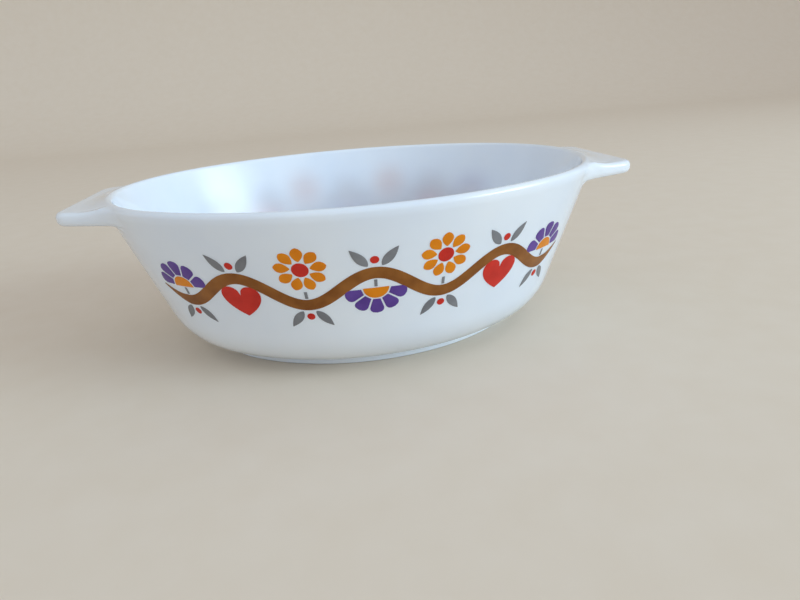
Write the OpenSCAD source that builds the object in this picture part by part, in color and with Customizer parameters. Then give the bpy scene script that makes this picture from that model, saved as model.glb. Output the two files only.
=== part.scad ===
// Oval casserole dish of pressed opal glass with two tab handles,
// and a band of fired enamel in five colours on each long side.
// Millimetres, +Z up, origin on the table below the middle of the dish, long axis along X.

/* [Bowl] */
// Length of the rim, without the handles
rim_length = 208; // [190:1:230]
// Width of the rim
rim_width = 172; // [150:1:190]
// Height of the dish, table to rim
height = 72; // [60:1:90]
// Lean of the wall from upright, in degrees
wall_taper = 19.5; // [10:0.5:24]
// Outside radius where the wall turns into the base
heel_radius = 29; // [20:1:40]
// Glass thickness of the wall
wall = 4; // [3:0.1:5.5]
// Height of the upright collar that ends the leaning wall
collar_height = 3; // [3:0.1:5]
// Height of the inside floor above the table
floor_height = 6.2; // [4.5:0.1:9]
// Height of the lowest line of the heel above the table
foot_height = 2.2; // [1.5:0.1:4]
// How far the foot ring's outer side stands outside that line
foot_spread = 7; // [2:0.5:10]
// Width of the ring that the dish stands on
foot_land = 7; // [4:0.5:12]
// Depth of the recess inside that ring
foot_recess = 1.5; // [0.5:0.1:3]
// Radius of the ring's outer edge, and of the hollow between the ring and the heel
foot_round = 0.8; // [0.4:0.1:1.2]

/* [Handles] */
// How far each tab reaches out past the end of the rim
tab_reach = 13.5; // [8:0.5:20]
// Width of the tab along its straight outer edge
tab_width = 65; // [40:1:70]
// Angle by which each side of the tab spreads towards the rim
tab_splay = 22; // [5:1:35]
// Plan radius of the tab's corners
tab_corner = 7.5; // [4:0.5:12]
// Glass thickness of the tab, whose edge is fully rounded
tab_thickness = 5.4; // [4:0.1:7.5]
// How far the tab's top lies below the rim
tab_drop = 2.5; // [1:0.1:4]
// Radius of the fillet under the tab
tab_fillet = 2; // [1:0.5:6]
// Radius of the hollow that leads from the tab's top up to the rim
tab_blend = 8; // [4:0.5:12]

/* [Enamel] */
// Thickness of the fired enamel
enamel_thickness = 0.1; // [0.06:0.01:0.3]
// Clearance between the enamel and the glass
enamel_clearance = 0.04; // [0.03:0.01:0.1]
// Distance from the collar down to the top of the band, along the wall
band_margin = 10; // [4:0.5:14]
// Height of the band along the wall
band_height = 37; // [34:0.5:42]
// Length of one half wave of the vine
wave_pitch = 24.5; // [22:0.5:27]
// Number of half waves on each side of the middle one
wave_pairs = 3; // [1:1:3]
// How far the vine swings above and below the middle of the band
vine_swing = 6; // [3:0.5:8]
// Width of the vine
vine_width = 4.8; // [3:0.1:5.5]
// Radius of a daisy over its petals
daisy_radius = 9; // [6:0.1:9.5]
// Radius of a daisy's eye
daisy_eye = 2.9; // [1.5:0.1:4]
// Number of petals on a daisy
daisy_petals = 9; // [6:1:12]
// Radius of a fan blossom
fan_radius = 11.5; // [8:0.1:12]
// Radius of the fan's inner half disc
fan_core = 4.6; // [3:0.1:6]
// Number of blades in a fan
fan_blades = 5; // [3:1:7]
// Width of a heart
heart_width = 15.5; // [10:0.1:17]
// Length of a leaf
leaf_length = 9; // [5:0.1:11]
// Width of a leaf
leaf_width = 3.4; // [2:0.1:4.5]
// Radius of a berry
berry_radius = 1.5; // [0.8:0.1:2]
// Width of a stem
stem_width = 1.1; // [0.8:0.1:2]
// Bare glass left between neighbouring colours
print_gap = 0.5; // [0.3:0.05:0.8]

/* [Hidden] */
$fn = 96;

opal_white = "#F2F3F5";
enamel_brown = "#96622C";
enamel_grey = "#84868A";
enamel_orange = "#E58B12";
enamel_purple = "#64479A";
enamel_red = "#D23327";

// Plan of the rim: the mason's oval of four arcs, whose centres lie on 3-4-5 triangles,
// so that two end arcs and two side arcs meet smoothly at any length and width
grid = 0.01;
half_length = round(rim_length / 2 / grid) * grid;
half_width = round(rim_width / 2 / grid) * grid;
end_centre = 1.5 * (half_length - half_width);
side_centre = 2 * (half_length - half_width);
end_radius = half_length - end_centre;
side_radius = half_width + side_centre;
end_half_angle = atan2(4, 3);
side_half_angle = 90 - end_half_angle;

// Section of the wall, as offsets from the outside of the rim (inwards is negative) and heights
taper_tan = tan(wall_taper);
taper_cos = cos(wall_taper);
taper_sin = sin(wall_taper);
collar_foot = height - collar_height;
inner_heel = heel_radius - wall;
crown_room = wall / taper_cos - collar_height * taper_tan;
crown_radius = crown_room / (1 + 1 / taper_cos - taper_tan);
crown_centre = [-crown_radius, height - crown_radius];
function outer_offset(z) = (z - collar_foot) * taper_tan;
function inner_offset(z) = outer_offset(z) - wall / taper_cos;
heel_z = foot_height + heel_radius;
heel_centre = [outer_offset(heel_z) - heel_radius / taper_cos, heel_z];
inner_heel_z = floor_height + inner_heel;
inner_heel_centre = [inner_offset(inner_heel_z) - inner_heel / taper_cos, inner_heel_z];
wall_run = (collar_foot - heel_z + heel_radius * taper_sin) / taper_cos;
arc_steps = 12;
// Foot ring: its outer side, its inner edge, and the hollow that leads from it into the heel
foot_edge = heel_centre[0] + foot_spread;
foot_inner = foot_edge - foot_land;
foot_slope = 2.5;
foot_steps = 4;
heel_start = asin((foot_spread + foot_round) / (heel_radius + foot_round)) - 90;
foot_hollow = heel_centre + (heel_radius + foot_round) * [cos(heel_start), sin(heel_start)];
// The four arcs end on the flat of the floor, and a plate under that edge closes the middle
floor_lap = 4;
arc_floor_edge = min(foot_inner - foot_slope, inner_heel_centre[0]) - 2 * floor_lap;
plate_edge = arc_floor_edge + floor_lap;
plate_points = 48;
// How far the two halves of an arc run past its middle, in degrees
arc_overlap = 1;

// Handles
tab_tip = half_length + tab_reach;
tab_top = height - tab_drop;
tab_under = tab_top - tab_thickness;
tab_round = tab_thickness / 2;
tab_corner_at = [tab_tip - tab_corner, tab_width / 2 - tab_corner];
tab_side_length = tab_reach + tab_width / 2;
tab_root_corner = tab_corner_at + tab_side_length * [-cos(tab_splay), sin(tab_splay)];
tab_root_radius = end_radius - wall / 2;
tab_root_depth = 3 * tab_fillet;
tab_fillet_z = tab_under - tab_fillet;
tab_fillet_centre = [outer_offset(tab_fillet_z) + tab_fillet / taper_cos, tab_fillet_z];
// The hollow touches the tab's top and, at this angle, a circle just inside the rim's rounded top
tab_blend_lap = 0.1;
tab_blend_z = tab_top + tab_blend;
tab_blend_span = tab_blend + crown_radius - tab_blend_lap;
tab_blend_angle = asin((tab_blend_z - crown_centre[1]) / tab_blend_span);
tab_blend_centre = [crown_centre[0] + tab_blend_span * cos(tab_blend_angle), tab_blend_z];
tab_facets = 32;

// Enamel band
band_middle = band_margin + band_height / 2;
band_offset = outer_offset(collar_foot - band_middle * taper_cos);
side_reach = (side_radius + band_offset) * side_half_angle * PI / 180;
motif_rows = [-wave_pairs : wave_pairs];
// Points along a vine's half wave, a blade, a half disc and a heart
vine_steps = 12;
blade_steps = 8;
disc_steps = 12;
heart_steps = 20;
// Least half width of a pointed end
point_width = 0.08;
// Width of the vine's ends, as a share of its full width
vine_tip = 0.15;
// Stem under a daisy or a fan, and how far each motif stands off the vine
stem_length = 3;
daisy_lift = stem_length + print_gap + daisy_radius;
fan_lift = stem_length + print_gap;
heart_lift = 1.5 * print_gap;
// Lean of a crest's two leaves from upright, and their distance from its middle
leaf_lean = 38;
leaf_set = 2.4;
// Powers that shift the widest place of a leaf inwards and of a petal outwards,
// and that round their ends
leaf_fullness = 0.8;
leaf_roundness = 0.85;
petal_fullness = 1.25;
petal_roundness = 0.6;
// Shares of the whole: where petals are widest, where a blade's tip rounds off, how deep a heart is
petal_belt = 0.72;
fan_shoulder = 0.55;
heart_depth = 0.62;

// A point of the oval, by the direction of its outward normal and its offset from the rim
function oval_point(angle, offset) =
    abs(cos(angle)) >= cos(end_half_angle)
        ? [sign(cos(angle)) * end_centre, 0] + (end_radius + offset) * [cos(angle), sin(angle)]
        : [0, -sign(sin(angle)) * side_centre] + (side_radius + offset) * [cos(angle), sin(angle)];

function arc(centre, radius, from, to, steps = arc_steps) =
    [for (i = [0 : steps])
        let (angle = from + (to - from) * i / steps)
        centre + radius * [cos(angle), sin(angle)]];

// Points of the wall section, from the inner edge of its floor round the outside and back inside
function wall_section() = concat(
    [[arc_floor_edge, foot_recess],
     [foot_inner - foot_slope, foot_recess],
     [foot_inner, 0]],
    arc([foot_edge - foot_round, foot_round], foot_round, -90, 0, foot_steps),
    arc(foot_hollow, foot_round, 180, heel_start + 180, foot_steps),
    arc(heel_centre, heel_radius, heel_start, -wall_taper),
    [[0, collar_foot]],
    arc(crown_centre, crown_radius, 0, 180 - wall_taper),
    arc(inner_heel_centre, inner_heel, -wall_taper, -90),
    [[arc_floor_edge, floor_height]]);

// The wall section turned about an arc's centre, from where two arcs meet to just past the arc's middle
module half_arc(centre, radius, from, sweep) {
    translate([centre[0], centre[1], 0])
        rotate([0, 0, from])
            rotate_extrude(angle = sweep + arc_overlap)
                translate([radius, 0])
                    polygon(wall_section());
}

module bowl() {
    for (flip_x = [0, 1])
        mirror([flip_x, 0, 0])
            for (flip_y = [0, 1])
                mirror([0, flip_y, 0]) {
                    mirror([0, 1, 0])
                        half_arc([end_centre, 0], end_radius, -end_half_angle, end_half_angle);
                    half_arc([0, -side_centre], side_radius, end_half_angle, side_half_angle);
                }
    translate([0, 0, foot_recess])
        linear_extrude(floor_height - foot_recess)
            polygon([for (i = [0 : plate_points - 1]) oval_point(360 * i / plate_points, plate_edge)]);
}

// A disc as thick as the tab, with a fully rounded edge
module tab_disc(at) {
    translate([at[0], at[1], tab_under])
        rotate_extrude($fn = tab_facets)
            intersection() {
                union() {
                    square([tab_corner - tab_round, tab_thickness]);
                    translate([tab_corner - tab_round, tab_round])
                        circle(tab_round, $fn = tab_facets);
                }
                square([tab_corner, tab_thickness]);
            }
}

// One tab: a flat plate whose three free edges are rounded, ending inside the wall
module tab() {
    difference() {
        union() {
            hull()
                for (side = [-1, 1], corner = [tab_corner_at, tab_root_corner])
                    tab_disc([corner[0], side * corner[1]]);
            intersection() {
                union() {
                    tab_fillet_ring();
                    tab_blend_ring();
                }
                translate([0, 0, tab_under - tab_root_depth])
                    linear_extrude(tab_root_depth + tab_thickness + tab_drop)
                        polygon([tab_corner_at, tab_root_corner,
                                 [tab_root_corner[0], -tab_root_corner[1]],
                                 [tab_corner_at[0], -tab_corner_at[1]]]);
            }
        }
        translate([end_centre, 0, tab_under - tab_root_depth])
            cylinder(r = tab_root_radius - tab_root_depth * taper_tan, h = tab_root_depth);
        translate([end_centre, 0, tab_under])
            cylinder(r = tab_root_radius, h = tab_thickness + tab_drop);
    }
}

// A section turned along the end of the rim
module end_ring(section) {
    translate([end_centre, 0, 0])
        rotate([0, 0, -end_half_angle])
            rotate_extrude(angle = 2 * end_half_angle)
                translate([end_radius, 0])
                    polygon(section);
}

// Fillet between the wall and the underside of a tab
module tab_fillet_ring() {
    curve = arc(tab_fillet_centre, tab_fillet, 180 - wall_taper, 90, arc_steps / 2);
    end_ring(concat(curve, [[tab_fillet_centre[0], tab_under + tab_round / 2],
                            [inner_offset(tab_under) + wall / 2, tab_under + tab_round / 2],
                            [curve[0][0] - wall / 2, curve[0][1]]]));
}

// Hollow between the top of a tab and the rim
module tab_blend_ring() {
    curve = arc(tab_blend_centre, tab_blend, 180 + tab_blend_angle, 270, arc_steps / 2);
    end_ring(concat(curve, [[tab_blend_centre[0], tab_top - tab_round],
                            [crown_centre[0], tab_top - tab_round],
                            [crown_centre[0], curve[0][1]]]));
}

module dish() {
    color(opal_white)
        union() {
            bowl();
            for (side = [0, 180])
                rotate([0, 0, side])
                    tab();
        }
}

// Place on the wall of a point of the flat band: u along it, v up it from its middle,
// and lift off the glass
function turn_at(u) = abs(u) <= side_reach
    ? u / side_reach * side_half_angle
    : sign(u) * (side_half_angle + (abs(u) - side_reach) / (end_radius + band_offset) * 180 / PI);
function on_side(turn) = abs(turn) <= side_half_angle;
function centre_at(turn) = on_side(turn) ? [0, side_centre] : [sign(turn) * end_centre, 0];
function radius_at(turn) = on_side(turn) ? side_radius : end_radius;
function wall_point(z, lift) = [outer_offset(z) + lift * taper_cos, z - lift * taper_sin];
function heel_point(angle, lift) = heel_centre + (heel_radius + lift) * [cos(angle), -sin(angle)];
function section_at(run, lift) = run <= wall_run
    ? wall_point(collar_foot - run * taper_cos, lift)
    : heel_point(wall_taper + (run - wall_run) / heel_radius * 180 / PI, lift);
function on_wall(p, lift) =
    let (turn = turn_at(p[0]),
         place = section_at(band_middle - p[1], lift),
         out = radius_at(turn) + place[0],
         hub = centre_at(turn))
    [hub[0] + out * sin(turn), hub[1] - out * cos(turn), place[1]];

// A thin patch of enamel between two edges, each a list of flat points running the same way
module patch(low, high) {
    n = len(low);
    flat = concat(low, high);
    points = concat([for (p = flat) on_wall(p, enamel_clearance)],
                    [for (p = flat) on_wall(p, enamel_clearance + enamel_thickness)]);
    top = 2 * n;
    strips = [for (i = [0 : n - 2])
        let (a = i, b = i + 1, c = n + i + 1, d = n + i)
        each [[a, b, c], [a, c, d],
              [top + a, top + c, top + b], [top + a, top + d, top + c],
              [a, top + b, b], [a, top + a, top + b],
              [d, c, top + c], [d, top + c, top + d]]];
    ends = [[0, n, top + n], [0, top + n, top],
            [n - 1, top + n - 1, top + 2 * n - 1], [n - 1, top + 2 * n - 1, 2 * n - 1]];
    polyhedron(points, concat(strips, ends));
}

// A patch between an edge near the vine and one farther from it, on either side of the vine
module patch_off_vine(near, far, up) {
    if (up > 0)
        patch(near, far);
    else
        patch(far, near);
}

// A patch along a straight line from a point, with its half width given at each step
module blade(from, angle, length, half_widths) {
    n = len(half_widths) - 1;
    along = [cos(angle), sin(angle)];
    across = [-along[1], along[0]];
    patch([for (i = [0 : n]) from + along * length * i / n - across * half_widths[i]],
          [for (i = [0 : n]) from + along * length * i / n + across * half_widths[i]]);
}

function lens(width, fullness, roundness) =
    [for (i = [0 : blade_steps])
        max(point_width, width / 2 * sin(180 * (i / blade_steps)^fullness)^roundness)];

// Half circle in even turns: how far along its diameter, and how high over it
function half_circle(radius) =
    [for (i = [0 : disc_steps])
        let (turn = 180 * i / disc_steps)
        [-radius * cos(turn), max(point_width, radius * sin(turn))]];

module disc(at, radius) {
    edge = half_circle(radius);
    patch([for (p = edge) at + [p[0], -p[1]]], [for (p = edge) at + p]);
}

// The vine is highest at even rows, where the motif hangs below it, and lowest at odd ones.
// Fans are in the middle and at the ends, daisies next to the middle and hearts after them
function upward(row) = abs(row) % 2 == 0 ? -1 : 1;
function is_fan(row) = abs(row) % 3 == 0;
function is_daisy(row) = abs(row) % 3 == 1;
function is_heart(row) = abs(row) % 3 == 2;
function beside_vine(row, side, lift) =
    [row * wave_pitch, side * (vine_width / 2 + print_gap + lift) - upward(row) * vine_swing];
function motif_at(row, lift) = beside_vine(row, upward(row), lift);
function crest_at(row, lift) = beside_vine(row, -upward(row), lift);

module vine() {
    end_u = (wave_pairs + 0.5) * wave_pitch;
    count = vine_steps * (2 * wave_pairs + 1);
    line = [for (i = [0 : count])
        let (u = end_u * (2 * i / count - 1))
        [u, vine_swing * cos(180 * u / wave_pitch)]];
    across = [for (p = line)
        let (slope = -vine_swing * PI / wave_pitch * sin(180 * p[0] / wave_pitch),
             swell = min(1, vine_tip + (end_u - abs(p[0])) / (wave_pitch / 2)))
        [-slope, 1] / norm([slope, 1]) * vine_width / 2 * swell];
    patch([for (i = [0 : count]) line[i] - across[i]],
          [for (i = [0 : count]) line[i] + across[i]]);
}

// Two leaves on each crest of the vine, and the stems of daisies and fans
module leaves() {
    for (row = motif_rows) {
        up = upward(row);
        for (side = [-1, 1]) {
            angle = atan2(-up * cos(leaf_lean), side * sin(leaf_lean));
            blade(crest_at(row, 0) + [side * leaf_set, 0], angle,
                  leaf_length, lens(leaf_width, leaf_fullness, leaf_roundness));
        }
        if (!is_heart(row))
            blade(motif_at(row, 0), up * 90, stem_length, [stem_width / 2, stem_width / 2]);
    }
}

module daisy_ring(at) {
    petal_foot = daisy_eye + print_gap;
    petal_width = 2 * PI * daisy_radius * petal_belt / daisy_petals - print_gap;
    for (i = [0 : daisy_petals - 1]) {
        turn = 90 + 360 * i / daisy_petals;
        blade(at + petal_foot * [cos(turn), sin(turn)], turn,
              daisy_radius - petal_foot, lens(petal_width, petal_fullness, petal_roundness));
    }
}

// Inner half disc of a fan, with its flat edge towards the stem
module fan_heart(row) {
    up = upward(row);
    edge = half_circle(fan_core);
    foot = motif_at(row, fan_lift);
    patch_off_vine([for (p = edge) foot + [p[0], 0]], [for (p = edge) foot + [p[0], up * p[1]]], up);
}

// Petals of the daisies and the half discs of the fans
module daisies() {
    for (row = motif_rows) {
        if (is_daisy(row))
            daisy_ring(motif_at(row, daisy_lift));
        if (is_fan(row))
            fan_heart(row);
    }
}

// Half widths of one blade of a fan, a wedge with a round tip
function fan_widths(sweep, foot, length) =
    [for (k = [0 : blade_steps])
        let (share = k / blade_steps,
             wedge = (foot + length * share) * sin(sweep / 2) - print_gap / 2,
             past = max(0, share - fan_shoulder) / (1 - fan_shoulder))
        max(point_width, wedge * sqrt(1 - past^2))];

module fans() {
    sweep = 180 / fan_blades;
    foot = fan_core + print_gap;
    length = fan_radius - foot;
    for (row = motif_rows)
        if (is_fan(row))
            for (i = [0 : fan_blades - 1]) {
                angle = upward(row) * (i + 0.5) * sweep;
                blade(motif_at(row, fan_lift) + foot * [cos(angle), sin(angle)], angle,
                      length, fan_widths(sweep, foot, length));
            }
}

// A heart with its cleft towards the vine and its point away from it
module heart(row) {
    up = upward(row);
    half = heart_width / 2;
    lobe = half / 2;
    foot = motif_at(row, heart_lift);
    us = [for (i = [0 : heart_steps]) -half * cos(180 * i / heart_steps)];
    near = [for (u = us) lobe - sqrt(max(0, lobe^2 - (abs(u) - lobe)^2))];
    drop = [for (u = us) heart_width * heart_depth * sqrt(max(0, 1 - abs(u) / half))];
    far = [for (d = drop) lobe + max(point_width, d)];
    patch_off_vine([for (i = [0 : heart_steps]) foot + [us[i], up * near[i]]],
                   [for (i = [0 : heart_steps]) foot + [us[i], up * far[i]]], up);
}

// Hearts, the eyes of the daisies and a berry on each crest
module hearts() {
    for (row = motif_rows) {
        if (is_heart(row))
            heart(row);
        if (is_daisy(row))
            disc(motif_at(row, daisy_lift), daisy_eye);
        disc(crest_at(row, berry_radius + 2 * print_gap), berry_radius);
    }
}

// The back of the dish carries the same band, turned half a turn
module on_back() {
    rotate([0, 0, 180])
        children();
}

module front_vine() { color(enamel_brown) vine(); }
module front_leaves() { color(enamel_grey) leaves(); }
module front_daisies() { color(enamel_orange) daisies(); }
module front_fans() { color(enamel_purple) fans(); }
module front_hearts() { color(enamel_red) hearts(); }
module back_vine() { color(enamel_brown) on_back() vine(); }
module back_leaves() { color(enamel_grey) on_back() leaves(); }
module back_daisies() { color(enamel_orange) on_back() daisies(); }
module back_fans() { color(enamel_purple) on_back() fans(); }
module back_hearts() { color(enamel_red) on_back() hearts(); }

dish();
front_vine();
front_leaves();
front_daisies();
front_fans();
front_hearts();
back_vine();
back_leaves();
back_daisies();
back_fans();
back_hearts();
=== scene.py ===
"""Oval casserole dish of pressed opal glass with a fired enamel band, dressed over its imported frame."""

import logging
import math
from collections.abc import Callable, Iterator
from contextlib import contextmanager
from dataclasses import dataclass, field
from enum import Enum
from functools import partial

import bpy
import numpy as np
from mathutils import Matrix, Vector


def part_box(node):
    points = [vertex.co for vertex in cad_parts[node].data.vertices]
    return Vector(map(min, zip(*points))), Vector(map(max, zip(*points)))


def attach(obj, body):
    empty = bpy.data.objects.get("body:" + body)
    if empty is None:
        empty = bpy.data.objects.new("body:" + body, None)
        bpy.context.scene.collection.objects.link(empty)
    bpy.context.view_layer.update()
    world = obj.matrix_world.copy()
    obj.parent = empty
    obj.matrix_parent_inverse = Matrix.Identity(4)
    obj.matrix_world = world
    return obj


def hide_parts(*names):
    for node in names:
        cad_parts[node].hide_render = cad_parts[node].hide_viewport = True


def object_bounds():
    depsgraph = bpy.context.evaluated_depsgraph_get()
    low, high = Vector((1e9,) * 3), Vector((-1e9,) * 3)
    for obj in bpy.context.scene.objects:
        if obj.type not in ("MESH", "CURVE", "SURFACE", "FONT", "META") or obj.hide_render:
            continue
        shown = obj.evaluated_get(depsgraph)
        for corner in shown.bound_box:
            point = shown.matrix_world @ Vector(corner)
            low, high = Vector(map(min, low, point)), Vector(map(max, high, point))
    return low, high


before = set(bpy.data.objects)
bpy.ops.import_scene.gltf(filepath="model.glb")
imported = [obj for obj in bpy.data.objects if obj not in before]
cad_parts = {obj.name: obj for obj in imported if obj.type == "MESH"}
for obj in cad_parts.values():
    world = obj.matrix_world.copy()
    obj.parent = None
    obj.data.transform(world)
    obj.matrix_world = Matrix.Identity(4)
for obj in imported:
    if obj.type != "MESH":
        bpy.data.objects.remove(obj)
CAD_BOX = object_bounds()

LOG = logging.getLogger("casserole_dish")
MM = 0.001
BODY = "root"
PHOTO_WIDTH = 800
UP = (0.0, 0.0, 1.0)
NEARLY_ZERO = 1e-12

Array = np.ndarray
Piece = bpy.types.Object
Colour = tuple[float, float, float, float]
Curve = Callable[[Array], Array]


def srgb(code: str) -> Colour:
    """Turn a written colour into the linear values that a shader takes.

    Args:
        code: Six hexadecimal digits, red first.

    Returns:
        Linear red, green, blue and a full alpha.
    """
    shares = [int(code[i:i + 2], 16) / 255 for i in (0, 2, 4)]
    red, green, blue = (s / 12.92 if s <= 0.04045 else ((s + 0.055) / 1.055) ** 2.4 for s in shares)
    return red, green, blue, 1.0


def set_all(thing: bpy.types.bpy_struct, **settings: object) -> None:
    """Set several properties of a thing by their names."""
    for name, value in settings.items():
        setattr(thing, name, value)


def take_up(piece: Piece) -> None:
    """Make a piece the only selected one, so that operators act on it alone.

    Args:
        piece: The piece to take up.
    """
    bpy.ops.object.select_all(action="DESELECT")
    piece.select_set(True)
    bpy.context.view_layer.objects.active = piece


@contextmanager
def edit_mode(piece: Piece, everything: bool = True) -> Iterator[None]:
    """Hold a piece in edit mode.

    Args:
        piece: The mesh to edit.
        everything: Whether the whole mesh is selected, or what was selected in code stays so.

    Returns:
        A context in which edit operators act on the piece.
    """
    take_up(piece)
    bpy.ops.object.mode_set(mode="EDIT")
    if everything:
        bpy.ops.mesh.select_all(action="SELECT")
    yield
    bpy.ops.object.mode_set(mode="OBJECT")


def select_edges(mesh: bpy.types.Mesh, wanted: Callable[[Vector, Vector], bool]) -> None:
    """Select only some edges of a mesh, for edit mode by edges.

    Args:
        mesh: The mesh to select in.
        wanted: Says of an edge's two ends whether the edge is taken.
    """
    for parts in (mesh.vertices, mesh.edges, mesh.polygons):
        parts.foreach_set("select", np.zeros(len(parts), dtype=bool))
    for edge in mesh.edges:
        first, second = (mesh.vertices[i] for i in edge.vertices)
        edge.select = wanted(first.co, second.co)
    bpy.context.tool_settings.mesh_select_mode = (False, True, False)


def read(parts: bpy.types.bpy_prop_collection, name: str, width: int) -> Array:
    """Read one value of all vertices or faces of a mesh.

    Args:
        parts: The vertices or the faces.
        name: Blender's name of the value.
        width: How many numbers the value has.

    Returns:
        One row of numbers for each vertex or face.
    """
    values = np.zeros(len(parts) * width)
    parts.foreach_get(name, values)
    return values.reshape(-1, width)


def places_of(mesh: bpy.types.Mesh) -> Array:
    """Give the places of all vertices of a mesh, as rows of x, y and z."""
    return read(mesh.vertices, "co", 3)


def put_places(mesh: bpy.types.Mesh, places: Array) -> None:
    """Move all vertices of a mesh to the given rows of x, y and z."""
    mesh.vertices.foreach_set("co", np.ascontiguousarray(places, dtype=np.float32).ravel())
    mesh.update()


def apply_modifier(piece: Piece, kind: str, **settings: object) -> None:
    """Add a modifier to a piece, set it and apply it.

    Args:
        piece: The mesh to change.
        kind: Blender's name of the modifier.
        settings: The modifier's own settings.
    """
    take_up(piece)
    modifier = piece.modifiers.new(kind.lower(), kind)
    set_all(modifier, **settings)
    bpy.ops.object.modifier_apply(modifier=modifier.name)


def polar(radius: float, turn: float) -> Vector:
    """Give the flat point at a distance and a direction from the origin."""
    return radius * Vector((math.cos(turn), math.sin(turn), 0))


def arc(centre: tuple[float, float], radius: float, start: float, end: float, steps: int) -> Array:
    """Lay points along an arc, in equal steps between two directions in degrees."""
    turn = np.radians(np.linspace(start, end, steps + 1))
    return np.array(centre) + radius * np.column_stack([np.cos(turn), np.sin(turn)])


class NodeBench:
    """Adds and joins the nodes of one shader tree."""

    def __init__(self, tree: bpy.types.NodeTree) -> None:
        """Take a tree and empty it."""
        tree.nodes.clear()
        self.tree = tree

    def add(self, kind: str, inputs: dict[str, object] | None = None, **settings: object) -> bpy.types.Node:
        """Add one node.

        Args:
            kind: Blender's type of the node.
            inputs: For each input, by name or identifier, a plain value or the socket that feeds it.
            settings: The node's own settings.

        Returns:
            The new node.
        """
        node = self.tree.nodes.new(kind)
        set_all(node, **settings)
        for name, value in (inputs or {}).items():
            socket = next(s for s in node.inputs if name in (s.identifier, s.name) and s.enabled)
            if isinstance(value, bpy.types.NodeSocket):
                self.tree.links.new(value, socket)
            else:
                socket.default_value = value
        return node

    def mix(self, factor: object, first: object, second: object, blend: str = "MIX") -> bpy.types.NodeSocket:
        """Mix two colours by the share of the second, each a plain value or the socket that gives it."""
        node = self.add("ShaderNodeMix", {"Factor_Float": factor, "A_Color": first, "B_Color": second},
                        data_type="RGBA", blend_type=blend)
        return next(s for s in node.outputs if s.identifier == "Result_Color")

    def reckon(self, operation: str, *values: object) -> bpy.types.NodeSocket:
        """Reckon with up to three plain values or sockets, by Blender's name of the operation."""
        inputs = dict(zip(("Value", "Value_001", "Value_002"), values))
        return self.add("ShaderNodeMath", inputs, operation=operation).outputs["Value"]


class FiredSurface:
    """Node group of a fired surface: clouded colour, a roughness that wanders, and a soft unevenness."""

    NAME = "fired_surface"
    CLOUD_DETAIL = 3.0
    CLOUD_RANGE = (0.32, 0.68)
    CLOUD_SWELL = 4.0
    GRAIN_DETAIL = 4.0
    GRAIN_ROUGHNESS = 0.6
    NOISE_MIDDLE = 0.5
    INPUTS = (("Vector", "NodeSocketVector"), ("Main Tone", "NodeSocketColor"), ("Cloud Tone", "NodeSocketColor"),
              ("Cloud Scale", "NodeSocketFloat"), ("Roughness", "NodeSocketFloat"),
              ("Roughness Spread", "NodeSocketFloat"), ("Grain Scale", "NodeSocketFloat"))
    OUTPUTS = (("Color", "NodeSocketColor"), ("Roughness", "NodeSocketFloat"), ("Height", "NodeSocketFloat"))

    @classmethod
    def tree(cls) -> bpy.types.NodeTree:
        """Give the group, made at its first use.

        Returns:
            The shared node tree.
        """
        made = bpy.data.node_groups.get(cls.NAME)
        if made:
            return made
        tree = bpy.data.node_groups.new(cls.NAME, "ShaderNodeTree")
        for in_out, sockets in (("INPUT", cls.INPUTS), ("OUTPUT", cls.OUTPUTS)):
            for name, kind in sockets:
                tree.interface.new_socket(name=name, in_out=in_out, socket_type=kind)
        bench = NodeBench(tree)
        given = bench.add("NodeGroupInput").outputs
        cloud = bench.add("ShaderNodeTexNoise", {"Vector": given["Vector"], "Scale": given["Cloud Scale"],
                                                 "Detail": cls.CLOUD_DETAIL})
        low, high = cls.CLOUD_RANGE
        share = bench.add("ShaderNodeMapRange", {"Value": cloud.outputs["Fac"], "From Min": low, "From Max": high})
        colour = bench.mix(share.outputs["Result"], given["Main Tone"], given["Cloud Tone"])
        grain = bench.add("ShaderNodeTexNoise", {"Vector": given["Vector"], "Scale": given["Grain Scale"],
                                                 "Detail": cls.GRAIN_DETAIL, "Roughness": cls.GRAIN_ROUGHNESS})
        centred = bench.reckon("SUBTRACT", grain.outputs["Fac"], cls.NOISE_MIDDLE)
        rough = bench.reckon("MULTIPLY_ADD", centred, given["Roughness Spread"], given["Roughness"])
        swell = bench.reckon("MULTIPLY_ADD", cloud.outputs["Fac"], cls.CLOUD_SWELL, grain.outputs["Fac"])
        bench.add("NodeGroupOutput", {"Color": colour, "Roughness": rough, "Height": swell})
        return tree


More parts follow.
